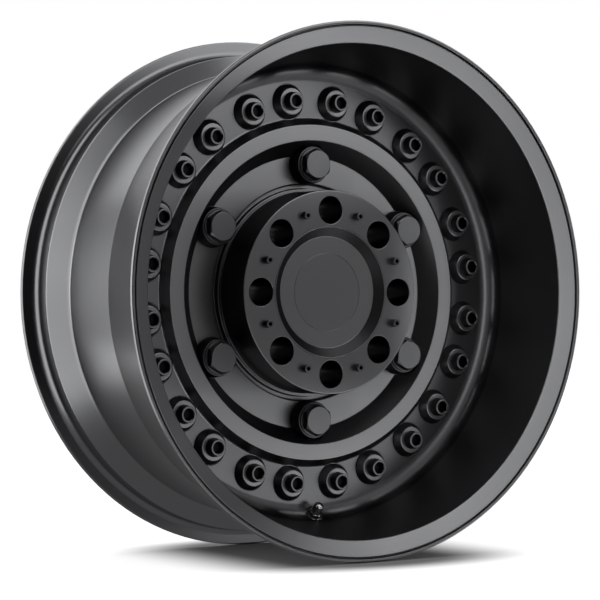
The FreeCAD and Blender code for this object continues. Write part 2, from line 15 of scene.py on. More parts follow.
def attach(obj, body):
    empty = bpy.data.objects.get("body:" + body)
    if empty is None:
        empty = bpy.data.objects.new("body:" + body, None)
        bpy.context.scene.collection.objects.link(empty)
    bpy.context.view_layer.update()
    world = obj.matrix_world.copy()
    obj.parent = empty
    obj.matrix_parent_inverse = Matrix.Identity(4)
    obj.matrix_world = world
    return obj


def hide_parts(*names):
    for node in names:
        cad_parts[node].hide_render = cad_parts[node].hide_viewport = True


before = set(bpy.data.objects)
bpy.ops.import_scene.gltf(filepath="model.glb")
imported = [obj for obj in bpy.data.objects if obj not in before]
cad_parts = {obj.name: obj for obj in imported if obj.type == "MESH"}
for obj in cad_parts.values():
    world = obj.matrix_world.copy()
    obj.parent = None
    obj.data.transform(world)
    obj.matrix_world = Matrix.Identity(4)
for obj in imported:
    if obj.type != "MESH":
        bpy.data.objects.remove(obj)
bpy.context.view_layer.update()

LOG = logging.getLogger("truck_wheel")
MM = 0.001
SEAM = 1e-6
# Face attribute that marks where shade is painted black inside sockets and wells.
SOCKET_SHADE_MARK = "socket"
Tree = bpy.types.NodeTree
Socket = bpy.types.NodeSocket
Piece = bpy.types.Object
Triple = tuple[float, float, float]


class Body(Enum):
    """Bodies of the frame that the pieces ride on."""

    WHEEL = "wheel"


class Slot(Enum):
    """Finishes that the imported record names."""

    CASTING = "casting_satin_black"
    WASHER = "washer_satin_black"
    SCREW = "screw_satin_black"
    CAP = "cap_plastic"
    BADGE = "badge_plate"
    CHROME = "valve_chrome"


class Cut(Enum):
    """Ways of joining one mesh with another."""

    AWAY = "DIFFERENCE"
    COMMON = "INTERSECT"


class Corner(NamedTuple):
    """Corner of a turned section: radius, height along the axle and the rounding on it, in millimetres."""

    radius: float
    height: float
    rounding: float = 0.0


# Finishes

def to_linear(code: str) -> tuple[float, ...]:
    """Turns an sRGB hex colour into linear red, green, blue and alpha.

    Args:
        code: Colour such as "#404142".

    Returns:
        The four values that a colour socket takes.
    """
    parts = [int(code[i:i + 2], 16) / 255 for i in (1, 3, 5)]
    red, green, blue = (v / 12.92 if v <= 0.04045 else ((v + 0.055) / 1.055) ** 2.4 for v in parts)
    return red, green, blue, 1.0


def add_node(
    tree: Tree, kind: str, sockets: dict[str | int, object] | None = None, **settings: object
) -> bpy.types.Node:
    """Adds a node with its settings and with its inputs set or linked.

    Args:
        tree: Node tree that takes the node.
        kind: Blender's name of the node type.
        sockets: Input name or place, with a value or an output socket to link from.
        settings: Attributes of the node.

    Returns:
        The new node.
    """
    node = tree.nodes.new(kind)
    for key, value in settings.items():
        setattr(node, key, value)
    for key, value in (sockets or {}).items():
        if isinstance(value, Socket):
            tree.links.new(value, node.inputs[key])
        else:
            node.inputs[key].default_value = value
    return node


def blank_material(name: str) -> bpy.types.Material:
    """Makes a material with an empty node tree.

    Args:
        name: Its name.

    Returns:
        The material.
    """
    material = bpy.data.materials.new(name)
    material.use_nodes = True
    material.node_tree.nodes.clear()
    return material


@dataclass(frozen=True)
class Finish:
    """Surface finish with a slow drift of colour and gloss and a fine relief.

    Attributes:
        name: Material name.
        colour: sRGB hex of the finish.
        drift_colour: sRGB hex that the colour drifts towards.
        metallic: Share of metal in the look.
        roughness: Lowest and highest roughness.
        drift_mm: Width of one patch of the drift.
        grain_mm: Width of one grain of the relief.
        relief_mm: Height of the relief.
    """

    name: str
    colour: str
    drift_colour: str
    metallic: float
    roughness: tuple[float, float]
    drift_mm: float
    grain_mm: float
    relief_mm: float

    def grain(self, tree: Tree, place: Socket) -> Socket:
        """Draws the relief as noise from 0 to 1."""
        sockets = {"Vector": place, "Scale": 1 / (self.grain_mm * MM), "Detail": 2.0, "Roughness": 0.5}
        return add_node(tree, "ShaderNodeTexNoise", sockets).outputs["Fac"]

    def tint(self, tree: Tree, place: Socket, colour: Socket) -> Socket:
        """Leaves the colour as it is."""
        return colour

    def material(self) -> bpy.types.Material:
        """Builds the finish once and hands it out after that.

        Returns:
            The material.
        """
        known = bpy.data.materials.get(self.name)
        if known:
            return known
        material = blank_material(self.name)
        tree = material.node_tree
        place = add_node(tree, "ShaderNodeTexCoord").outputs["Object"]
        drift = add_node(
            tree, "ShaderNodeTexNoise", {"Vector": place, "Scale": 1 / (self.drift_mm * MM), "Detail": 3.0},
        ).outputs["Fac"]
        colour = add_node(
            tree, "ShaderNodeMix", {0: drift, 6: to_linear(self.colour), 7: to_linear(self.drift_colour)},
            data_type="RGBA",
        ).outputs[2]
        low, high = self.roughness
        gloss = add_node(
            tree, "ShaderNodeMapRange",
            {"Value": drift, "From Min": 0.3, "From Max": 0.7, "To Min": low, "To Max": high},
        ).outputs["Result"]
        bump = add_node(
            tree, "ShaderNodeBump", {"Height": self.grain(tree, place), "Distance": self.relief_mm * MM},
        ).outputs["Normal"]
        shader = add_node(
            tree, "ShaderNodeBsdfPrincipled",
            {
                "Base Color": self.tint(tree, place, colour), "Roughness": gloss, "Metallic": self.metallic,
                "Normal": bump,
            },
        )
        add_node(tree, "ShaderNodeOutputMaterial", {"Surface": shader.outputs["BSDF"]})
        return material


@dataclass(frozen=True)
class SpunFinish(Finish):
    """Finish whose relief is fine rings round the axle, as a lathe leaves them."""

    def grain(self, tree: Tree, place: Socket) -> Socket:
        """Draws the relief as rings round the axle from 0 to 1."""
        sockets = {"Vector": place, "Scale": 1 / (20 * self.grain_mm * MM), "Distortion": 1.5, "Detail": 2.0}
        return add_node(tree, "ShaderNodeTexWave", sockets, wave_type="RINGS", rings_direction="Y").outputs["Fac"]


@dataclass(frozen=True)
class SocketShadeFinish(Finish):
    """Finish with painted shade: black inside sockets and wells.

    Attributes:
        socket_shade_colour: sRGB hex of the shade painted inside a socket or a well.
    """

    socket_shade_colour: str

    def tint(self, tree: Tree, place: Socket, colour: Socket) -> Socket:
        """Paints shade: blackens the faces that carry the socket mark.

        Args:
            tree: Node tree of the material.
            place: Object coordinates.
            colour: Colour of the rest.

        Returns:
            The colour with shade painted black in the sockets.
        """
        # Painted shade: marked faces inside sockets and wells take the dark colour.
        mark = add_node(tree, "ShaderNodeAttribute", attribute_name=SOCKET_SHADE_MARK).outputs["Fac"]
        sockets = {0: mark, 6: colour, 7: to_linear(self.socket_shade_colour)}
        return add_node(tree, "ShaderNodeMix", sockets, data_type="RGBA").outputs[2]


@dataclass(frozen=True)
class ShadeBandFinish(SocketShadeFinish):
    """Finish with a band of painted shade round the axle and shade painted black in wells.

    Attributes:
        shade_band_colour: sRGB hex of the painted shade band.
        shade_band_r: Inner and outer radius of the band, in millimetres.
        shade_band_y: Lower and upper height of the band, in millimetres.
    """

    shade_band_colour: str
    shade_band_r: tuple[float, float]
    shade_band_y: tuple[float, float]

    @staticmethod
    def between(tree: Tree, value: Socket, limits: tuple[float, float]) -> Socket:
        """Tests a value in metres against limits in millimetres.

        Args:
            tree: Node tree of the material.
            value: The value.
            limits: Lower and upper limit.

        Returns:
            1 where the value lies between the limits, and 0 elsewhere.
        """
        low, high = limits
        sockets = {0: value, 1: (low + high) / 2 * MM, 2: (high - low) / 2 * MM}
        return add_node(tree, "ShaderNodeMath", sockets, operation="COMPARE").outputs[0]

    def tint(self, tree: Tree, place: Socket, colour: Socket) -> Socket:
        """Paints the band of shade.

        Args:
            tree: Node tree of the material.
            place: Object coordinates.
            colour: Colour of the rest.

        Returns:
            The colour with the painted shade band and shade painted black in the wells.
        """
        parts = add_node(tree, "ShaderNodeSeparateXYZ", {"Vector": place})
        across = add_node(tree, "ShaderNodeCombineXYZ", {"X": parts.outputs["X"], "Z": parts.outputs["Z"]})
        radius = add_node(tree, "ShaderNodeVectorMath", {0: across.outputs["Vector"]}, operation="LENGTH")
        ringed = self.between(tree, radius.outputs["Value"], self.shade_band_r)
        level = self.between(tree, parts.outputs["Y"], self.shade_band_y)
        band = add_node(tree, "ShaderNodeMath", {0: ringed, 1: level}, operation="MULTIPLY").outputs[0]
        # The band is painted shade, darker than the rest of the coat.
        painted = add_node(
            tree, "ShaderNodeMix", {0: band, 6: colour, 7: to_linear(self.shade_band_colour)}, data_type="RGBA",
        ).outputs[2]
        return super().tint(tree, place, painted)


# Powder coat with metal flake on cast aluminium: satin, so lamps spread to soft gradients, with a faint skin from the
# melt. A band over the floor of the dish is painted darker as shade, and shade is painted black in the nut wells.
CASTING_COAT = ShadeBandFinish(
    "satin_powder_coat_on_casting", "#a6a7a9", "#a1a2a4", 1.0, (0.29, 0.33), 90.0, 1.6, 0.006,
    "#2a2a2b", "#858688", (183.0, 238.0), (-27.0, 0.0),
)
# The same coat on turned steel washers, thinner and with a finer grain.
WASHER_COAT = Finish("satin_powder_coat_on_washers", "#a0a1a3", "#9a9b9d", 1.0, (0.29, 0.33), 40.0, 1.2, 0.004)
# The tall washers round the hub, coloured darker than the coat.
HUB_WASHER_COAT = Finish("black_oxide_on_hub_washers", "#68696b", "#606163", 1.0, (0.29, 0.34), 40.0, 1.2, 0.004)
# Black zinc on steel screws, slightly darker than the coat; the sockets are painted near black as shade, since hardly
# any light leaves them.
SCREW_COAT = SocketShadeFinish(
    "black_zinc_on_screws", "#919294", "#858688", 1.0, (0.30, 0.36), 25.0, 1.0, 0.004, "#1c1c1d",
)
# Moulded ABS cap with the wheel's satin coat sprayed on, finer than powder; its sloping wall is painted dark as shade.
CAP_COAT = ShadeBandFinish(
    "satin_lacquer_on_abs_cap", "#b4b5b7", "#acadaf", 1.0, (0.36, 0.40), 60.0, 1.0, 0.003,
    "#505152", "#505152", (58.0, 67.3), (-48.3, -41.1),
)
# Black anodised badge disc with turning marks; they are drawn coarser than the real 0.1 mm so that they show.
BADGE_PLATE = SpunFinish("black_anodised_badge", "#b2b3b5", "#aaabad", 1.0, (0.34, 0.38), 60.0, 0.8, 0.002)
# Chrome plate on brass: mirror bright with faint handling marks.
CHROME = Finish("chrome_plate_on_valve", "#f4f5f6", "#eceef0", 1.0, (0.10, 0.18), 6.0, 2.0, 0.002)
# Plain brass of the valve core, machined and slightly dulled.
BRASS = Finish("machined_brass", "#c9a35a", "#b48c46", 1.0, (0.25, 0.38), 4.0, 0.4, 0.003)
# EPDM rubber of the seals: matt, with a fine bloom.
RUBBER = Finish("epdm_rubber_seal", "#1b1b1c", "#252526", 0.0, (0.62, 0.78), 8.0, 0.6, 0.01)
# Drawn spring wire with a grey phosphate skin.
SPRING_STEEL = Finish("phosphated_spring_wire", "#8b8d90", "#76787b", 1.0, (0.32, 0.44), 10.0, 0.5, 0.004)


# Modelling

def select(*pieces: Piece) -> None:
    """Selects these pieces and nothing else, with the first one active.

    Args:
        pieces: Pieces to select.
    """
    bpy.ops.object.select_all(action="DESELECT")
    for piece in pieces:
        piece.select_set(True)
    bpy.context.view_layer.objects.active = pieces[0]


def section(corners: Sequence[Corner], step_deg: float = 12.0, hold: float = 0.35) -> list[Vector]:
    """Rounds the corners of a closed section and holds its straight runs with a point near each end.

    Args:
        corners: Corners in order round the section.
        step_deg: Largest turn between two points of an arc.
        hold: Distance of a holding point from the end of its run.

    Returns:
        Points of the outline.
    """
    spots = [Vector((corner.radius, corner.height)) for corner in corners]
    arcs: list[list[Vector]] = []
    for i, (corner, spot) in enumerate(zip(corners, spots)):
        back = (spots[i - 1] - spot).normalized()
        ahead = (spots[(i + 1) % len(spots)] - spot).normalized()
        half = math.acos(max(-1.0, min(1.0, back.dot(ahead)))) / 2
        if corner.rounding == 0 or half > math.radians(89.5):
            arcs.append([spot])
            continue
        reach = corner.rounding / math.tan(half)
        middle = spot + (back + ahead).normalized() * corner.rounding / math.sin(half)
        first, last = spot + back * reach - middle, spot + ahead * reach - middle
        start = math.atan2(first.y, first.x)
        sweep = (math.atan2(last.y, last.x) - start + math.pi) % math.tau - math.pi
        count = max(3, math.ceil(abs(math.degrees(sweep)) / step_deg))
        turns = (start + sweep * k / count for k in range(count + 1))
        arcs.append([middle + Vector((math.cos(t), math.sin(t))) * corner.rounding for t in turns])
    points: list[Vector] = []
    for arc, following in zip(arcs, arcs[1:] + arcs[:1]):
        points += arc
        run = following[0] - arc[-1]
        if run.length > 6 * hold:
            points += [arc[-1] + run.normalized() * hold, following[0] - run.normalized() * hold]
    return points


def turned(name: str, corners: Sequence[Corner], steps: int = 64) -> Piece:
    """Turns a closed section about the Y axis.

    Args:
        name: Name of the piece.
        corners: Corners of the section.
        steps: Steps of the spin.

    Returns:
        The closed piece, shaded smooth.
    """
    points = section(corners)
    bpy.ops.object.select_all(action="DESELECT")
    bpy.ops.mesh.primitive_circle_add(vertices=len(points), radius=MM)
    piece = bpy.context.object
    piece.name = piece.data.name = name
    for vertex, point in zip(piece.data.vertices, points):
        vertex.co = (max(point.x, 0.0) * MM, point.y * MM, 0.0)
    bpy.ops.object.mode_set(mode="EDIT")
    bpy.ops.mesh.select_all(action="SELECT")
    bpy.ops.mesh.spin(steps=steps, angle=math.tau, center=(0, 0, 0), axis=(0, 1, 0))
    bpy.ops.mesh.select_all(action="SELECT")
    bpy.ops.mesh.remove_doubles(threshold=SEAM)
    bpy.ops.mesh.delete_loose()
    bpy.ops.mesh.select_all(action="SELECT")
    bpy.ops.mesh.normals_make_consistent(inside=False)
    bpy.ops.object.mode_set(mode="OBJECT")
    return piece


def bar(name: str, sides: int, radius: float, low: float, high: float) -> Piece:
    """Makes a bar with a regular section about the Y axis.

    Args:
        name: Name of the piece.
        sides: Number of its sides.
        radius: Radius at its corners.
        low: Height of its lower end.
        high: Height of its upper end.

    Returns:
        The bar.
    """
    bpy.ops.object.select_all(action="DESELECT")
    bpy.ops.mesh.primitive_cylinder_add(
        vertices=sides, radius=radius * MM, depth=(high - low) * MM, location=(0, (low + high) / 2 * MM, 0),
        rotation=(math.pi / 2, 0, 0),
    )
    bpy.ops.object.transform_apply(location=True, rotation=True, scale=True)
    piece = bpy.context.object
    piece.name = piece.data.name = name
    return piece


def hex_bar(name: str, flats: float, low: float, high: float, edge: float = 0.0) -> Piece:
    """Makes a hexagonal bar about the Y axis with a corner towards X.

    Args:
        name: Name of the piece.
        flats: Width across flats.
        low: Height of its lower end.
        high: Height of its upper end.
        edge: Rounding of its long edges.

    Returns:
        The bar.
    """
    piece = bar(name, 6, flats / math.sqrt(3), low, high)
    piece.data.transform(Matrix.Rotation(math.pi / 6, 4, "Y"))
    if edge:
        for line in piece.data.edges:
            ends = [piece.data.vertices[i].co for i in line.vertices]
            line.select = abs(ends[0].y - ends[1].y) > SEAM
        for vertex in piece.data.vertices:
            vertex.select = False
        for face in piece.data.polygons:
            face.select = False
        bpy.context.tool_settings.mesh_select_mode = (False, True, False)
        bpy.ops.object.mode_set(mode="EDIT")
        bpy.ops.mesh.bevel(offset=edge * MM, segments=3, affect="EDGES")
        bpy.ops.object.mode_set(mode="OBJECT")
    return piece


def stadium_bar(name: str, length: float, width: float, low: float, high: float) -> Piece:
    """Makes a bar with a rounded-slot section along the Y axis, long towards X.

    Args:
        name: Name of the piece.
        length: Whole length of the slot.
        width: Width of the slot.
        low: Height of its lower end.
        high: Height of its upper end.

    Returns:
        The bar.
    """
    piece = bar(name, 48, width / 2, low, high)
    for side in (-1, 1):
        for vertex in piece.data.vertices:
            vertex.select = vertex.co.x * side > SEAM
        bpy.context.tool_settings.mesh_select_mode = (True, False, False)
        bpy.ops.object.mode_set(mode="EDIT")
        bpy.ops.transform.translate(value=(side * (length - width) / 2 * MM, 0, 0))
        bpy.ops.mesh.select_all(action="DESELECT")
        bpy.ops.object.mode_set(mode="OBJECT")
    return piece


def placed(piece: Piece, matrix: Matrix) -> Piece:
    """Moves a piece's mesh and leaves its object at the origin."""
    piece.data.transform(matrix)
    return piece


def joined(name: str, pieces: Sequence[Piece]) -> Piece:
    """Joins pieces into one.

    Args:
        name: Name of the joined piece.
        pieces: Pieces to join.

    Returns:
        The joined piece.
    """
    select(*pieces)
    if len(pieces) > 1:
        bpy.ops.object.join()
    piece = bpy.context.view_layer.objects.active
    piece.name = piece.data.name = name
    return piece


def around(piece: Piece, radius: float, angles_deg: Sequence[float]) -> Piece:
    """Copies a piece made about the Y axis to places round the axle, each copy with its own mesh.

    Args:
        piece: The piece, which is used up.
        radius: Radius of the circle that the copies stand on.
        angles_deg: Angles round the axle from X towards Z.

    Returns:
        All copies as one piece.
    """
    name = piece.name
    copies = []
    for angle in angles_deg:
        copy = piece.copy()
        copy.data = piece.data.copy()
        bpy.context.collection.objects.link(copy)
        turn = Matrix.Rotation(-math.radians(angle), 4, "Y")
        copies.append(placed(copy, turn @ Matrix.Translation((radius * MM, 0, 0))))
    bpy.data.objects.remove(piece)
    return joined(name, copies)


def cut(piece: Piece, tool: Piece, way: Cut = Cut.AWAY) -> None:
    """Cuts a piece with a tool mesh, which is used up.

    Args:
        piece: Piece to cut.
        tool: Closed mesh of the tool.
        way: Whether the tool is cut away or its common part kept.
    """
    modifier = piece.modifiers.new("cut", "BOOLEAN")
    modifier.operation = way.value
    modifier.solver = "EXACT"
    modifier.object = tool
    select(piece)
    bpy.ops.object.modifier_apply(modifier=modifier.name)
    bpy.data.objects.remove(tool)


def smooth(piece: Piece, angle_deg: float = 32.0) -> None:
    """Shades a piece smooth below an angle and keeps its flats flat.

    Args:
        piece: Piece to shade.
        angle_deg: Angle past which an edge stays sharp.
    """
    select(piece)
    bpy.ops.object.shade_smooth_by_angle(angle=math.radians(angle_deg))
    modifier = piece.modifiers.new("flats", "WEIGHTED_NORMAL")
    modifier.keep_sharp = True
    modifier.weight = 100
    bpy.ops.object.modifier_apply(modifier=modifier.name)


def mark_socket_shade(
    piece: Piece, radius: float, top_y: float, depth: float, circle_r: float = 0.0,
    angles_deg: Sequence[float] = (0.0,), rim: float = 0.5, slack: float = 0.1,
) -> None:
    """Marks the faces inside the sockets or wells of a piece, where shade is painted black.

    Args:
        piece: The piece.
        radius: Radius that a socket lies within.
        top_y: Height of the socket's mouth.
        depth: Depth of the socket.
        circle_r: Radius of the circle that the sockets stand on.
        angles_deg: Their angles on it.
        rim: Depth down to which the mouth keeps its colour.
        slack: Depth past the bottom that still counts.
    """
    mark = piece.data.attributes.new(SOCKET_SHADE_MARK, "FLOAT", "FACE")
    turns = [math.radians(angle) for angle in angles_deg]
    axes = [(circle_r * math.cos(turn), circle_r * math.sin(turn)) for turn in turns]
    for face in piece.data.polygons:
        x, y, z = face.center / MM
        deep = top_y + rim < y < top_y + depth + slack
        inside = deep and any(math.hypot(x - axis_x, z - axis_z) < radius for axis_x, axis_z in axes)
        mark.data[face.index].value = float(inside)


def dress(piece: Piece, finish: Finish, slot: Slot, *nodes: str) -> None:
    """Gives a piece its finish and its place in the frame.

    Args:
        piece: Finished mesh.
        finish: Its finish.
        slot: The record's slot that the finish stands for; not used.
        nodes: Frame nodes that the piece replaces.
    """
    piece.data.materials.clear()
    piece.data.materials.append(finish.material())
    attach(piece, Body.WHEEL.value)
    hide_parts(*nodes)
    LOG.info("%s: %d faces for %s", piece.name, len(piece.data.polygons), ", ".join(nodes))


def spaced(count: int, first_deg: float) -> tuple[float, ...]:
    """Gives evenly spaced angles round the axle."""
    return tuple(first_deg + 360.0 * k / count for k in range(count))


# Heights along the axle that several pieces share
HUB_FACE_Y = -48.4
ANNULUS_Y = -1.8
RING_Y = -19.5
BOLT_PLANE_Y = -10.0
PAD_Y = 18.0
FRONT_Y = -119.1
LUG_ANGLES = spaced(8, 0.0)
BETWEEN_LUG_ANGLES = spaced(8, 22.5)
RIM_SCREW_ANGLES = tuple(sorted(mid + side for mid in spaced(12, 15.0) for side in (-7.0, 7.0)))
HUB_BOLT_ANGLES = spaced(6, 30.0)


@dataclass
class SeatedScrews:
    """Screws on a circle round the axle, each through a tapered washer in a spot face of the casting."""

    seats_name: str
    washers_name: str
    angles_deg: Sequence[float]
    circle_r: float
    cutter_y: float
    seat_y: float
    floor_y: float
    spot_r: float
    spot_edge: float
    spot_steps: int
    washer_r: float
    washer_top_r: float
    washer_height: float
    washer_foot: float
    washer_edge: float
    washer_steps: int
    shank_r: float
    shank_depth: float
    clearance: float

    def seat_cutter(self) -> Piece:
        """Makes the cutter for every spot face and hole in the casting.

        Returns:
            All the cutters as one mesh.
        """
        hole_y = self.seat_y + self.shank_depth + self.clearance
        hole_r = self.shank_r + self.clearance
        cutter = turned(self.seats_name, [
            Corner(0, self.cutter_y), Corner(self.spot_r, self.cutter_y),
            Corner(self.spot_r, self.floor_y, self.spot_edge), Corner(hole_r, self.floor_y), Corner(hole_r, hole_y),
            Corner(0, hole_y),
        ], self.spot_steps)
        return around(cutter, self.circle_r, self.angles_deg)

    def build_washers(self) -> Piece:
        """Models one tapered washer with rolled edges and copies it round the axle.

        Returns:
            The washers as one piece.
        """
        hole_r = self.shank_r + self.clearance
        top_y = self.seat_y - self.washer_height
        washer = turned(self.washers_name, [
            Corner(hole_r, self.floor_y), Corner(self.washer_r, self.floor_y, 0.3),
            Corner(self.washer_r, self.seat_y - self.washer_foot, 0.5),
            Corner(self.washer_top_r, top_y, self.washer_edge), Corner(hole_r, top_y),
        ], self.washer_steps)
        smooth(washer)
        return around(washer, self.circle_r, self.angles_deg)


@dataclass
class RimScrews(SeatedScrews):
    """Tapered socket screws and their conical washers round the disc."""

    seats_name: str = "rim_seats"
    washers_name: str = "conical_washers"
    angles_deg: Sequence[float] = RIM_SCREW_ANGLES
    circle_r: float = 200.5
    cutter_y: float = BOLT_PLANE_Y - 26.0
    seat_y: float = BOLT_PLANE_Y + 0.6
    floor_y: float = BOLT_PLANE_Y + 0.6
    spot_r: float = 19.2
    spot_edge: float = 0.5
    spot_steps: int = 56
    washer_r: float = 18.3
    washer_top_r: float = 14.0
    washer_height: float = 9.0
    washer_foot: float = 1.2
    washer_edge: float = 1.2
    washer_steps: int = 64
    shank_r: float = 5.0
    shank_depth: float = 10.0
    clearance: float = 0.2
    head_r: float = 9.9
    head_end_r: float = 8.4
    head_height: float = 9.2
    socket_flats: float = 11.0
    socket_depth: float = 6.0

    def build_screws(self) -> Piece:
        """Models one socket screw with a chamfered socket and copies it round the disc.

        Returns:
            The screws as one piece.
        """
        under_y = self.seat_y - self.washer_height
        top_y = under_y - self.head_height
        end_y = self.seat_y + self.shank_depth
        screw = turned("tapered_socket_screws", [
            Corner(0, top_y), Corner(self.head_end_r, top_y, 0.8), Corner(self.head_r, under_y, 0.25),
            Corner(self.shank_r, under_y), Corner(self.shank_r, end_y), Corner(0, end_y),
        ], steps=48)
        corner_r = self.socket_flats / math.sqrt(3)
        cut(screw, hex_bar("socket", self.socket_flats, top_y - 1.0, top_y + self.socket_depth))
        cut(screw, turned("socket_chamfer", [
            Corner(0, top_y - 0.5), Corner(corner_r + 0.8, top_y - 0.5), Corner(corner_r - 0.6, top_y + 0.9),
            Corner(0, top_y + 0.9),
        ], steps=48))
        smooth(screw)
        # Shade is painted black inside the sockets.
        mark_socket_shade(screw, corner_r, top_y, self.socket_depth)
        return around(screw, self.circle_r, self.angles_deg)

    def build(self) -> None:
        """Builds and dresses the washers and the screws."""
        dress(self.build_washers(), WASHER_COAT, Slot.WASHER, "rim_bolt_washers")
        dress(self.build_screws(), SCREW_COAT, Slot.SCREW, "rim_bolts")


@dataclass
class HubBolts(SeatedScrews):
    """Flanged hex bolts and their tall tapered washers round the hub tower."""

    seats_name: str = "hub_bolt_seats"
    washers_name: str = "hub_washers"
    angles_deg: Sequence[float] = HUB_BOLT_ANGLES
    circle_r: float = 133.5
    cutter_y: float = RING_Y - 8.0
    seat_y: float = ANNULUS_Y
    floor_y: float = ANNULUS_Y + 0.05
    spot_r: float = 21.9
    spot_edge: float = 0.6
    spot_steps: int = 64
    washer_r: float = 21.0
    washer_top_r: float = 19.2
    washer_height: float = 14.4
    washer_foot: float = 1.5
    washer_edge: float = 1.0
    washer_steps: int = 72
    shank_r: float = 8.0
    shank_depth: float = 11.0
    clearance: float = 0.2
    flange_r: float = 17.2
    flange_height: float = 1.6
    flats: float = 29.0
    hex_height: float = 8.2

    def build_bolts(self) -> Piece:
        """Models one hex bolt with a turned top and a flange and copies it round the hub.

        Returns:
            The bolts as one piece.
        """
        seat_y = self.seat_y - self.washer_height
        under_y = seat_y - self.flange_height
        top_y = under_y - self.hex_height
        end_y = self.seat_y + self.shank_depth
        corner_r = self.flats / math.sqrt(3)
        flat_r = self.flats / 2
        head = hex_bar("hex_head", self.flats, top_y, under_y + 0.8, 0.5)
        cut(head, turned("hex_top", [
            Corner(0, top_y + 0.01), Corner(flat_r - 0.3, top_y + 0.01, 0.6),
            Corner(corner_r + 0.1, top_y + 2.0, 0.5), Corner(corner_r + 0.1, under_y + 1.0), Corner(0, under_y + 1.0),
        ], steps=72), Cut.COMMON)
        stem = turned("flange", [
            Corner(0, under_y), Corner(self.flange_r, under_y, 0.6), Corner(self.flange_r, seat_y, 0.2),
            Corner(self.shank_r, seat_y), Corner(self.shank_r, end_y), Corner(0, end_y),
        ])
        smooth(head)
        smooth(stem)
        return around(joined("flanged_hex_bolts", [head, stem]), self.circle_r, self.angles_deg)

    def build(self) -> None:
        """Builds and dresses the washers and the bolts."""
        dress(self.build_washers(), HUB_WASHER_COAT, Slot.WASHER, "hub_bolt_washers")
        dress(self.build_bolts(), SCREW_COAT, Slot.SCREW, "hub_bolts")


@dataclass
class FaceScrews:
    """Small socket screws between the lug wells."""

    circle_r: float = 85.0
    head_r: float = 4.0
    head_height: float = 7.2
    socket_flats: float = 4.0
    socket_depth: float = 3.0
    shank_r: float = 2.5
    shank_depth: float = 10.0
    clearance: float = 0.2
    cutter_rise: float = 2.0

    def hole_cutter(self) -> Piece:
        """Makes the cutter for every screw hole in the hub face.

        Returns:
            All the cutters as one mesh.
        """
        top_y = HUB_FACE_Y - self.cutter_rise
        hole_y = HUB_FACE_Y + self.shank_depth + self.clearance
        hole_r = self.shank_r + self.clearance
        cutter = turned("face_screw_holes", [
            Corner(0, top_y), Corner(hole_r, top_y), Corner(hole_r, hole_y), Corner(0, hole_y),
        ], steps=24)
        return around(cutter, self.circle_r, BETWEEN_LUG_ANGLES)

    def build(self) -> None:
        """Models one screw with a rolled head, copies it round the hub face and dresses the screws."""
        top_y = HUB_FACE_Y - self.head_height
        end_y = HUB_FACE_Y + self.shank_depth
        screw = turned("hub_face_screws", [
            Corner(0, top_y), Corner(self.head_r, top_y, 0.7), Corner(self.head_r, HUB_FACE_Y, 0.2),
            Corner(self.shank_r, HUB_FACE_Y), Corner(self.shank_r, end_y), Corner(0, end_y),
        ], steps=40)
        cut(screw, hex_bar("socket", self.socket_flats, top_y - 1.0, top_y + self.socket_depth))
        smooth(screw)
        # Shade is painted black inside the sockets.
        mark_socket_shade(screw, self.socket_flats / math.sqrt(3), top_y, self.socket_depth)
        dress(around(screw, self.circle_r, BETWEEN_LUG_ANGLES), SCREW_COAT, Slot.SCREW, "face_screws")


@dataclass
class CentreCap:
    """Dished snap-in cap with a blank badge disc in its floor."""

    radius: float = 68.2
    rim_width: float = 0.8
    floor_r: float = 57.5
    floor_y: float = HUB_FACE_Y + 7.4
    seat_y: float = HUB_FACE_Y + 12.8
    shell: float = 3.0
    skirt_r: float = 62.2
    skirt_wall: float = 3.2
    skirt_depth: float = 14.0
    spring_y: float = -25.3
    groove_depth: float = 1.3
    badge_r: float = 40.2
    badge_thickness: float = 1.2

    def build_cap(self) -> Piece:
        """Turns the cap with softened edges.

        Returns:
            The cap.
        """
        recess_y = self.floor_y + self.badge_thickness
        groove_r = self.skirt_r - self.groove_depth
        end_y = self.seat_y + self.skirt_depth
        inner_r = self.skirt_r - self.skirt_wall
        cap = turned("dished_cap", [
            Corner(0, recess_y), Corner(self.badge_r + 0.2, recess_y), Corner(self.badge_r + 0.2, self.floor_y, 0.4),
            Corner(self.floor_r, self.floor_y, 1.2), Corner(self.radius - self.rim_width, HUB_FACE_Y, 0.5),
            Corner(self.radius, HUB_FACE_Y, 0.3), Corner(self.radius, self.seat_y, 0.4),
            Corner(self.skirt_r, self.seat_y), Corner(self.skirt_r, self.spring_y - self.groove_depth),
            Corner(groove_r, self.spring_y - self.groove_depth), Corner(groove_r, self.spring_y + self.groove_depth),
            Corner(self.skirt_r, self.spring_y + self.groove_depth), Corner(self.skirt_r, end_y, 0.5),
            Corner(inner_r, end_y, 0.5), Corner(inner_r, recess_y + self.shell, 1.5), Corner(0, recess_y + self.shell),
        ], steps=160)
        smooth(cap)
        return cap

    def build_badge(self) -> Piece:
        """Turns the blank badge disc with a softened edge.

        Returns:
            The disc.
        """
        back_y = self.floor_y + self.badge_thickness
        badge = turned("blank_badge", [
            Corner(0, self.floor_y), Corner(self.badge_r, self.floor_y, 0.4), Corner(self.badge_r, back_y),
            Corner(0, back_y),
        ], steps=128)
        smooth(badge)
        return badge

    def build(self) -> None:
        """Builds and dresses the cap and its badge."""
        dress(self.build_cap(), CAP_COAT, Slot.CAP, "centre_cap")
        dress(self.build_badge(), BADGE_PLATE, Slot.BADGE, "cap_badge")


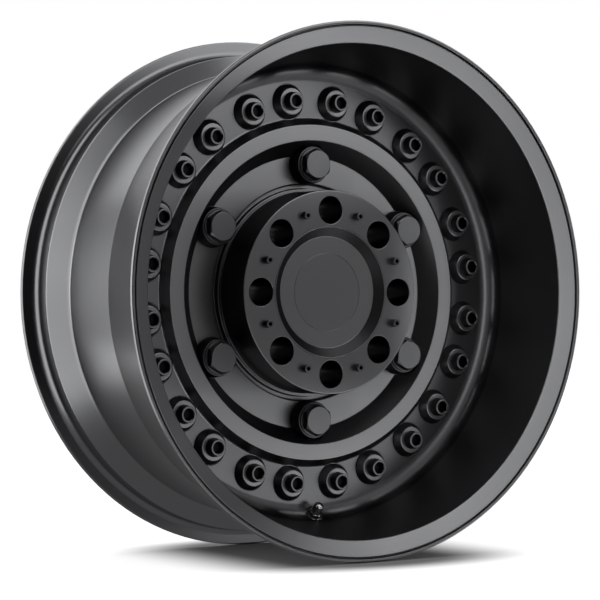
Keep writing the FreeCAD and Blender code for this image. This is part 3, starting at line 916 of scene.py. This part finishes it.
@dataclass
class Valve:
    """Chrome tyre valve, tilted in the fillet of the dish; heights are from its seat, outward negative."""

    seat_r: float = 232.927
    seat_y: float = -14.686
    angle_deg: float = 270.0
    tilt_deg: float = 45.0
    hole_r: float = 5.75
    spot_r: float = 9.6
    wall: float = 5.0
    stem_r: float = 3.85
    stem_length: float = 14.4
    washer_r: float = 7.6
    washer_height: float = 1.2
    nut_flats: float = 13.0
    nut_height: float = 5.0
    cap_r: float = 5.2
    cap_roof: float = 1.6
    cap_lift: float = 0.6
    seal: float = 0.7
    clearance: float = 0.2
    cutter_rise: float = 30.0
    cutter_drop: float = 60.0

    def set_in(self, piece: Piece) -> Piece:
        """Moves a piece made about the Y axis into the valve hole.

        Args:
            piece: The piece.

        Returns:
            The same piece.
        """
        turn = Matrix.Rotation(-math.radians(self.angle_deg), 4, "Y")
        tilt = Matrix.Rotation(-math.radians(self.tilt_deg), 4, "Z")
        return placed(piece, turn @ Matrix.Translation((self.seat_r * MM, self.seat_y * MM, 0)) @ tilt)

    def hole_cutter(self) -> Piece:
        """Makes the cutter for the valve's spot faces and hole.

        Returns:
            The cutter in its place.
        """
        top_y = -self.cutter_rise
        end_y = self.wall + self.cutter_drop
        return self.set_in(turned("valve_seat", [
            Corner(0, top_y), Corner(self.spot_r, top_y), Corner(self.spot_r, 0, 0.4), Corner(self.hole_r, 0),
            Corner(self.hole_r, self.wall), Corner(self.spot_r, self.wall), Corner(self.spot_r, end_y),
            Corner(0, end_y),
        ]))

    def build_washer(self) -> Piece:
        """Turns the flat washer.

        Returns:
            The washer in its place.
        """
        inner_r = self.stem_r + self.clearance
        washer = turned("valve_flat_washer", [
            Corner(inner_r, 0), Corner(self.washer_r, 0, 0.2), Corner(self.washer_r, -self.washer_height, 0.3),
            Corner(inner_r, -self.washer_height),
        ])
        smooth(washer)
        return self.set_in(washer)

    def build_nut(self) -> Piece:
        """Models the hex nut with chamfered ends.

        Returns:
            The nut in its place.
        """
        low, high = -self.washer_height - self.nut_height, -self.washer_height
        corner_r = self.nut_flats / math.sqrt(3)
        inner_r = self.stem_r + self.clearance
        nut = hex_bar("valve_hex_nut", self.nut_flats, low, high, 0.25)
        cut(nut, turned("nut_turning", [
            Corner(inner_r, low + 0.01), Corner(self.nut_flats / 2 - 0.3, low + 0.01, 0.3),
            Corner(corner_r + 0.1, low + 1.0, 0.2), Corner(corner_r + 0.1, high - 0.5, 0.2),
            Corner(self.nut_flats / 2, high - 0.01), Corner(inner_r, high - 0.01),
        ]), Cut.COMMON)
        smooth(nut)
        return self.set_in(nut)

    def build_cap(self) -> Piece:
        """Turns the domed dust cap and cuts the grip flutes round its side.

        Returns:
            The dust cap in its place.
        """
        mouth_y = -self.washer_height - self.nut_height - self.cap_lift
        inside_y = -self.stem_length - self.seal
        top_y = inside_y - self.cap_roof
        inner_r = self.stem_r + self.clearance
        cap = turned("valve_dust_cap", [
            Corner(0, top_y), Corner(self.cap_r - 0.2, top_y + 0.4, 2.6), Corner(self.cap_r, top_y + 3.2, 0.5),
            Corner(self.cap_r, mouth_y, 0.3), Corner(inner_r, mouth_y), Corner(inner_r, inside_y),
            Corner(0, inside_y),
        ], steps=96)
        flute = turned("grip_flute", [
            Corner(0, top_y + 3.4), Corner(0.35, top_y + 3.8), Corner(0.35, mouth_y - 1.4), Corner(0, mouth_y - 1.0),
        ], steps=8)
        cut(cap, around(flute, self.cap_r + 0.1, spaced(24, 0.0)))
        smooth(cap)
        return self.set_in(cap)

    def build(self) -> None:
        """Builds and dresses the washer, the nut and the dust cap."""
        dress(self.build_washer(), CHROME, Slot.CHROME, "valve_washer")
        dress(self.build_nut(), CHROME, Slot.CHROME, "valve_nut")
        dress(self.build_cap(), CHROME, Slot.CHROME, "valve_cap")


@dataclass
class Casting:
    """One-piece cast wheel: hub tower, disc with its ring, dish, lip and barrel."""

    bore_r: float = 62.55
    bore_chamfer: float = 1.5
    cap_seat_y: float = HUB_FACE_Y + 12.8
    cap_pocket_r: float = 68.55
    hub_r: float = 105.7
    collar_r: float = 109.2
    collar_rise: float = 0.8
    groove_depth: float = 5.7
    annulus_in_r: float = 113.6
    annulus_out_r: float = 143.4
    ring_in_r: float = 158.7
    ring_out_r: float = 175.1
    ring_foot_r: float = 182.0
    dish_corner_r: float = 235.238
    dish_fillet: float = 16.0
    lip_in_r: float = 251.5
    lip_depth: float = 8.4
    lip_groove_r: float = 267.9
    tip_r: float = 270.3
    flange_r: float = 273.7
    flange_land: float = 4.8
    bead_seat_r: float = 257.2
    seat_end_r: float = 255.713
    hump_r: float = 257.113
    crease_r: float = 242.4
    well_r: float = 237.9
    wall: float = 6.5
    disc_thickness: float = 15.5
    pad_r: float = 112.0
    lug_circle_r: float = 85.0
    lug_well_r: float = 14.4
    lug_seat_r: float = 12.0
    lug_hole_r: float = 8.0
    lug_land: float = 9.0
    pocket_length: float = 32.0
    pocket_width: float = 18.0
    pocket_roof: float = 20.8
    seat_width: float = 17.0
    hump_width: float = 3.5
    well_slope: float = 16.0
    crease_lead: float = 4.1
    back_flange_width: float = 11.0
    back_flange_depth: float = 4.0
    back_slope_r: float = 250.61
    back_slope_y: float = 96.84
    back_well_y: float = 80.84
    back_corner_r: float = 234.97
    channel_r: tuple[float, float, float, float] = (153.4, 162.4, 171.4, 180.4)
    cutter_rise: float = 4.0
    cutter_overlap: float = 0.02
    well_margin: float = 0.1
    unmarked_depth: float = 1.0
    steps: int = 128

    def outline(self) -> list[Corner]:
        """Lists the corners of the section: bore, hub, disc face, dish, lip, outside and back.

        Returns:
            The corners in order round the section.
        """
        disc_back_y = BOLT_PLANE_Y + self.disc_thickness
        bead_y = -FRONT_Y - self.flange_land
        seat_end_y = bead_y - self.seat_width
        hump_y = seat_end_y - self.hump_width
        well_y = hump_y - self.well_slope
        collar_y = ANNULUS_Y - self.collar_rise
        groove_y = ANNULUS_Y + self.groove_depth
        ring_back_y = RING_Y + self.disc_thickness
        annulus_back_y = ANNULUS_Y + self.disc_thickness
        channel_in_r, roof_in_r, roof_out_r, channel_out_r = self.channel_r
        return [
            Corner(self.bore_r + self.bore_chamfer, PAD_Y), Corner(self.bore_r, PAD_Y - self.bore_chamfer),
            Corner(self.bore_r, self.cap_seat_y), Corner(self.cap_pocket_r, self.cap_seat_y),
            Corner(self.cap_pocket_r, HUB_FACE_Y, 0.4), Corner(self.hub_r, HUB_FACE_Y, 1.2),
            Corner(self.hub_r, collar_y, 0.6), Corner(self.collar_r, collar_y, 0.9),
            Corner(self.collar_r, groove_y, 0.8), Corner(self.annulus_in_r, groove_y, 0.8),
            Corner(self.annulus_in_r, ANNULUS_Y, 1.5),
            Corner(self.annulus_out_r, ANNULUS_Y, 1.0), Corner(self.ring_in_r, RING_Y, 0.9),
            Corner(self.ring_out_r, RING_Y, 0.9), Corner(self.ring_foot_r, BOLT_PLANE_Y, 3.0),
            Corner(self.dish_corner_r, BOLT_PLANE_Y, self.dish_fillet),
            Corner(self.lip_in_r, FRONT_Y + self.lip_depth, 2.0), Corner(self.lip_groove_r, FRONT_Y + 1.4, 0.6),
            Corner((self.lip_groove_r + self.tip_r) / 2, FRONT_Y + 4.2, 0.3), Corner(self.tip_r, FRONT_Y + 0.7, 0.6),
            Corner(self.flange_r, FRONT_Y, 1.5), Corner(self.flange_r, -bead_y, 1.5),
            Corner(self.bead_seat_r, -bead_y, 6.5), Corner(self.seat_end_r, -seat_end_y, 1.0),
            Corner(self.hump_r, -hump_y, 2.0), Corner(self.crease_r, BOLT_PLANE_Y - self.crease_lead, 6.0),
            Corner(self.well_r, well_y, 5.0), Corner(self.hump_r, hump_y, 2.0),
            Corner(self.seat_end_r, seat_end_y, 1.0), Corner(self.bead_seat_r, bead_y, 6.5),
            Corner(self.flange_r, bead_y, 1.5), Corner(self.flange_r, -FRONT_Y, 1.5),
            Corner(self.flange_r - self.back_flange_width, -FRONT_Y, 1.0),
            Corner(self.bead_seat_r - self.wall, -FRONT_Y - self.back_flange_depth, 1.0),
            Corner(self.back_slope_r, self.back_slope_y, 4.0), Corner(self.well_r - self.wall, self.back_well_y, 11.5),
            Corner(self.back_corner_r, disc_back_y, 12.0), Corner(channel_out_r, disc_back_y, 3.0),
            Corner(roof_out_r, ring_back_y, 2.0), Corner(roof_in_r, ring_back_y, 2.0),
            Corner(channel_in_r, annulus_back_y, 3.0), Corner(self.pad_r, annulus_back_y, 1.5),
            Corner(self.pad_r, PAD_Y, 0.8),
        ]

    def lug_cutter(self) -> Piece:
        """Makes the cutter for the lug holes: a flared nut well, the conical seat and the stud hole.

        Returns:
            All the cutters as one mesh.
        """
        low_y = PAD_Y - self.lug_land
        seat_y = low_y - (self.lug_seat_r - self.lug_hole_r) * math.sqrt(3)
        top_y, mouth_y = HUB_FACE_Y - self.cutter_rise, HUB_FACE_Y - self.cutter_overlap
        exit_y, end_y = PAD_Y + self.cutter_overlap, PAD_Y + self.cutter_rise
        flare_r = self.lug_well_r + 4.0
        exit_r = self.lug_hole_r + 3.0
        cutter = turned("lug_holes", [
            Corner(0, top_y), Corner(flare_r, top_y), Corner(flare_r, mouth_y), Corner(self.lug_well_r, mouth_y, 1.0),
            Corner(self.lug_well_r, seat_y, 0.8), Corner(self.lug_seat_r, seat_y), Corner(self.lug_hole_r, low_y),
            Corner(self.lug_hole_r, exit_y, 0.8), Corner(exit_r, exit_y), Corner(exit_r, end_y), Corner(0, end_y),
        ], steps=52)
        return around(cutter, self.lug_circle_r, LUG_ANGLES)

    def pocket_cutter(self) -> Piece:
        """Makes the cutter for the lightening pockets in the pad.

        Returns:
            All the cutters as one mesh.
        """
        roof_y = HUB_FACE_Y + self.pocket_roof
        pocket = stadium_bar("pad_pockets", self.pocket_length, self.pocket_width, roof_y, PAD_Y + self.cutter_rise)
        return around(pocket, self.lug_circle_r, BETWEEN_LUG_ANGLES)

    def build(self, cutters: Sequence[Piece]) -> None:
        """Turns the casting, cuts every seat, well and hole, and dresses it.

        Args:
            cutters: Meshes of the seats and holes that the other pieces need.
        """
        casting = turned("wheel_casting_body", self.outline(), self.steps)
        tools = [self.lug_cutter(), self.pocket_cutter(), *cutters]
        cut(casting, joined("casting_cutters", tools))
        smooth(casting)
        # Shade is painted black inside the lug wells.
        marked_r = self.lug_well_r + self.well_margin
        marked_depth = PAD_Y - HUB_FACE_Y - self.unmarked_depth
        mark_socket_shade(casting, marked_r, HUB_FACE_Y, marked_depth, self.lug_circle_r, LUG_ANGLES)
        dress(casting, CASTING_COAT, Slot.CASTING, "wheel_casting")


def dress_frame_nodes() -> None:
    """Gives the frame nodes that stay in view, or hidden inside, their finishes."""
    finishes = {
        "cap_spring_ring": SPRING_STEEL, "valve_stem": CHROME, "valve_grommet": RUBBER, "valve_core": BRASS,
        "valve_core_pin": BRASS, "valve_cap_seal": RUBBER,
    }
    for name, finish in finishes.items():
        node = bpy.data.objects[name]
        for slot in node.material_slots:
            slot.material = finish.material()
        LOG.info("%s: dressed with %s", name, finish.name)


class Card(NamedTuple):
    """Flat card that glows grey and shows only in reflections, a painted reflection: where it stands, where it faces,
    its size in metres and the grey it glows.
    """

    name: str
    place: Triple
    target: Triple
    size: tuple[float, float]
    colour: str


class Lamp(NamedTuple):
    """Softbox: where it hangs, where it points, its size in metres, its power and whether reflections show it."""

    name: str
    place: Triple
    target: Triple
    size: tuple[float, float]
    watts: float
    mirrored: bool


@dataclass
class Studio:
    """Pale floor with a painted shadow, white surround, soft lamps, glowing cards seen only in reflections, and the
    camera; places are in metres.
    """

    floor_z: float = -0.2737
    floor_size: float = 14.0
    floor_glow: float = 0.8
    # Where and how wide the wheel's shadow is painted on the floor.
    painted_shadow_x: float = 0.015
    painted_shadow_half_width: float = 0.10
    painted_shadow_stretch: float = 2.0
    painted_shadow_reach: tuple[float, float] = (0.08, 0.21)
    camera_place: Triple = (-1.3802, -2.1212, -0.0176)
    camera_look: Triple = (0.54347, 0.83942, 0.00383)
    camera_up: Triple = (0.0, -0.00457, 1.0)
    lens_mm: float = 144.44
    sensor_mm: float = 36.0
    surround: float = 0.35
    depths: float = 0.06
    last_world_depth: float = 2.5
    last_floor_depth: float = 1.5
    # Painted reflections: grey glowing panels that only reflections show, darkening or lightening parts of the wheel.
    cards: tuple[Card, ...] = (
        Card("facing_card", (0.405, -0.86, 0.0), (-0.04, -0.05, 0.0), (0.50, 0.40), "#181818"),
        Card("left_front_card", (-0.391, -0.460, 0.36), (-0.191, 0.190, 0.36), (0.61, 1.27), "#080808"),
        Card("right_card", (1.10, -0.55, 0.42), (0.0, -0.55, 0.42), (0.95, 1.00), "#1c1c1c"),
        Card("overhead_card", (-0.10, -0.15, 1.10), (-0.10, -0.15, 0.0), (0.90, 0.90), "#686868"),
        Card("floor_card", (-0.13, 0.30, -0.2717), (-0.13, 0.30, 1.0), (0.50, 1.30), "#666666"),
        Card("hub_card", (0.05, -0.20, 0.0), (0.0, -0.05, 0.0), (0.28, 0.26), "#686868"),
        Card("left_back_card", (-0.55, 1.10, 0.05), (-0.25, 0.0, 0.0), (0.46, 0.90), "#585858"),
        Card("right_side_card", (1.60, 0.30, 0.15), (0.0, 0.10, 0.0), (1.50, 1.10), "#2c2c2c"),
        Card("back_card", (0.30, 1.70, 0.20), (0.10, 0.0, 0.05), (1.10, 0.90), "#343434"),
    )
    lamps: tuple[Lamp, ...] = (
        Lamp("top_softbox", (0.4, 0.2, 2.2), (0.0, 0.0, 0.0), (1.8, 1.8), 9.0, False),
        Lamp("back_left_softbox", (-1.62, 1.21, 0.15), (-0.24, 0.05, 0.0), (0.8, 1.2), 4.8, True),
    )

    @staticmethod
    def first_sight(tree: Tree, last_depth: float) -> tuple[Socket, Socket]:
        """Tells camera, glossy and transmitted rays from the rest, and early rays from late ones.

        Args:
            tree: Node tree that takes the nodes.
            last_depth: Ray depth at which a ray counts as late.

        Returns:
            1 for camera, glossy and transmitted rays, and 1 for rays that have met the wheel once at most.
        """
        path = add_node(tree, "ShaderNodeLightPath").outputs
        seen = path["Is Camera Ray"]
        for kind in ("Is Glossy Ray", "Is Transmission Ray"):
            seen = add_node(tree, "ShaderNodeMath", {0: seen, 1: path[kind]}, operation="MAXIMUM").outputs[0]
        early = add_node(tree, "ShaderNodeMath", {0: path["Ray Depth"], 1: last_depth}, operation="LESS_THAN")
        return seen, early.outputs[0]

    def build_surround(self) -> None:
        """Makes the world white where it is seen, plain where it lights, and dim deep between the walls."""
        world = bpy.data.worlds.new("white_surround")
        world.use_nodes = True
        tree = world.node_tree
        tree.nodes.clear()
        seen, early = self.first_sight(tree, self.last_world_depth)
        level = add_node(tree, "ShaderNodeMapRange", {"Value": seen, "To Min": self.surround, "To Max": 1.0})
        strength = add_node(
            tree, "ShaderNodeMapRange", {"Value": early, "To Min": self.depths, "To Max": level.outputs["Result"]},
        ).outputs["Result"]
        back = add_node(tree, "ShaderNodeBackground", {"Color": to_linear("#ffffff"), "Strength": strength})
        add_node(tree, "ShaderNodeOutputWorld", {"Surface": back.outputs["Background"]})
        bpy.context.scene.world = world

    def build_floor(self) -> None:
        """Lays the pale floor, which is white where it is seen; round the wheel's footprint its real shadow is
        deepened by a painted shadow.
        """
        bpy.ops.object.select_all(action="DESELECT")
        bpy.ops.mesh.primitive_plane_add(size=self.floor_size, location=(0, 0, self.floor_z))
        floor = bpy.context.object
        floor.name = "studio_floor"
        material = blank_material("matt_white_floor")
        tree = material.node_tree
        seen, early = self.first_sight(tree, self.last_floor_depth)
        place = add_node(tree, "ShaderNodeTexCoord").outputs["Object"]
        parts = add_node(tree, "ShaderNodeSeparateXYZ", {"Vector": place})
        # Mask of the painted shadow: 0 round the wheel's footprint, 1 beyond it.
        aside = add_node(tree, "ShaderNodeMath", {0: parts.outputs["X"], 1: self.painted_shadow_x}, operation="SUBTRACT")
        beyond = parts.outputs["Y"]
        for operation, value in (
            ("ABSOLUTE", 0.0), ("SUBTRACT", self.painted_shadow_half_width), ("MAXIMUM", 0.0), ("MULTIPLY", self.painted_shadow_stretch),
        ):
            beyond = add_node(tree, "ShaderNodeMath", {0: beyond, 1: value}, operation=operation).outputs[0]
        spread = add_node(tree, "ShaderNodeCombineXYZ", {"X": aside.outputs[0], "Y": beyond})
        reach = add_node(tree, "ShaderNodeVectorMath", {0: spread.outputs["Vector"]}, operation="LENGTH")
        near, far = self.painted_shadow_reach
        clear = add_node(
            tree, "ShaderNodeMapRange", {"Value": reach.outputs["Value"], "From Min": near, "From Max": far},
            interpolation_type="SMOOTHSTEP",
        ).outputs["Result"]
        lift = clear
        for share in (seen, self.floor_glow):
            lift = add_node(tree, "ShaderNodeMath", {0: lift, 1: share}, operation="MULTIPLY").outputs[0]
        # Painted shadow: the floor colour is darker round the footprint, and the glow is left out there.
        shade = add_node(
            tree, "ShaderNodeMix", {0: clear, 6: to_linear("#c4c4c4"), 7: to_linear("#f6f6f6")}, data_type="RGBA",
        )
        paint = add_node(tree, "ShaderNodeBsdfDiffuse", {"Color": shade.outputs[2]})
        glow = add_node(tree, "ShaderNodeEmission", {"Color": to_linear("#ffffff"), "Strength": lift})
        lit = add_node(tree, "ShaderNodeAddShader", {0: paint.outputs["BSDF"], 1: glow.outputs["Emission"]})
        # Painted shade: rays that have met the wheel more than once see the floor dark.
        dim = add_node(tree, "ShaderNodeBsdfDiffuse", {"Color": to_linear("#202020")})
        surface = add_node(tree, "ShaderNodeMixShader", {0: early, 1: dim.outputs["BSDF"], 2: lit.outputs["Shader"]})
        add_node(tree, "ShaderNodeOutputMaterial", {"Surface": surface.outputs["Shader"]})
        floor.data.materials.append(material)

    def build_card(self, card: Card) -> None:
        """Stands one card where only reflections show it.

        Args:
            card: The card.
        """
        bpy.ops.object.select_all(action="DESELECT")
        bpy.ops.mesh.primitive_plane_add(size=1.0)
        board = bpy.context.object
        board.name = card.name
        turn = (Vector(card.target) - Vector(card.place)).to_track_quat("Z", "Y").to_matrix().to_4x4()
        board.data.transform(Matrix.Translation(card.place) @ turn @ Matrix.Diagonal((*card.size, 1.0, 1.0)))
        material = blank_material(card.name + "_cloth")
        tree = material.node_tree
        # The card glows its grey, a painted reflection.
        reflected_glow = add_node(tree, "ShaderNodeEmission", {"Color": to_linear(card.colour), "Strength": 1.0})
        add_node(tree, "ShaderNodeOutputMaterial", {"Surface": reflected_glow.outputs["Emission"]})
        board.data.materials.append(material)
        board.visible_camera = board.visible_diffuse = board.visible_shadow = False

    def build_lamp(self, lamp: Lamp) -> None:
        """Hangs one softbox.

        Args:
            lamp: The softbox.
        """
        bpy.ops.object.select_all(action="DESELECT")
        bpy.ops.object.light_add(type="AREA", location=lamp.place)
        light = bpy.context.object
        light.name = lamp.name
        light.data.shape = "RECTANGLE"
        light.data.size, light.data.size_y = lamp.size
        light.data.energy = lamp.watts
        light.visible_glossy = lamp.mirrored
        light.rotation_euler = (Vector(lamp.target) - Vector(lamp.place)).to_track_quat("-Z", "Y").to_euler()

    def build_camera(self) -> None:
        """Sets the camera where the photograph was taken from."""
        look = Vector(self.camera_look).normalized()
        right = look.cross(Vector(self.camera_up)).normalized()
        above = right.cross(look)
        turn = Matrix((right, above, -look)).transposed().to_4x4()
        bpy.ops.object.select_all(action="DESELECT")
        bpy.ops.object.camera_add()
        camera = bpy.context.object
        camera.matrix_world = Matrix.Translation(self.camera_place) @ turn
        camera.data.sensor_width = self.sensor_mm
        camera.data.lens = self.lens_mm
        camera.data.clip_end = 60.0
        camera.data.dof.use_dof = False
        bpy.context.scene.camera = camera

    def build(self) -> None:
        """Builds the whole studio."""
        bpy.context.scene.view_settings.view_transform = "Standard"
        self.build_surround()
        self.build_floor()
        for card in self.cards:
            self.build_card(card)
        for lamp in self.lamps:
            self.build_lamp(lamp)
        self.build_camera()
        LOG.info("studio: floor, surround, %d cards, %d lamps and camera", len(self.cards), len(self.lamps))


def main() -> None:
    """Builds the pieces in order, dresses the rest of the frame and sets the studio."""
    logging.basicConfig(level=logging.INFO, format="%(message)s")
    rim_screws, hub_bolts, face_screws, valve = RimScrews(), HubBolts(), FaceScrews(), Valve()
    Casting().build([
        rim_screws.seat_cutter(), hub_bolts.seat_cutter(), face_screws.hole_cutter(), valve.hole_cutter(),
    ])
    rim_screws.build()
    hub_bolts.build()
    face_screws.build()
    CentreCap().build()
    valve.build()
    dress_frame_nodes()
    Studio().build()


if __name__ == "__main__":
    main()
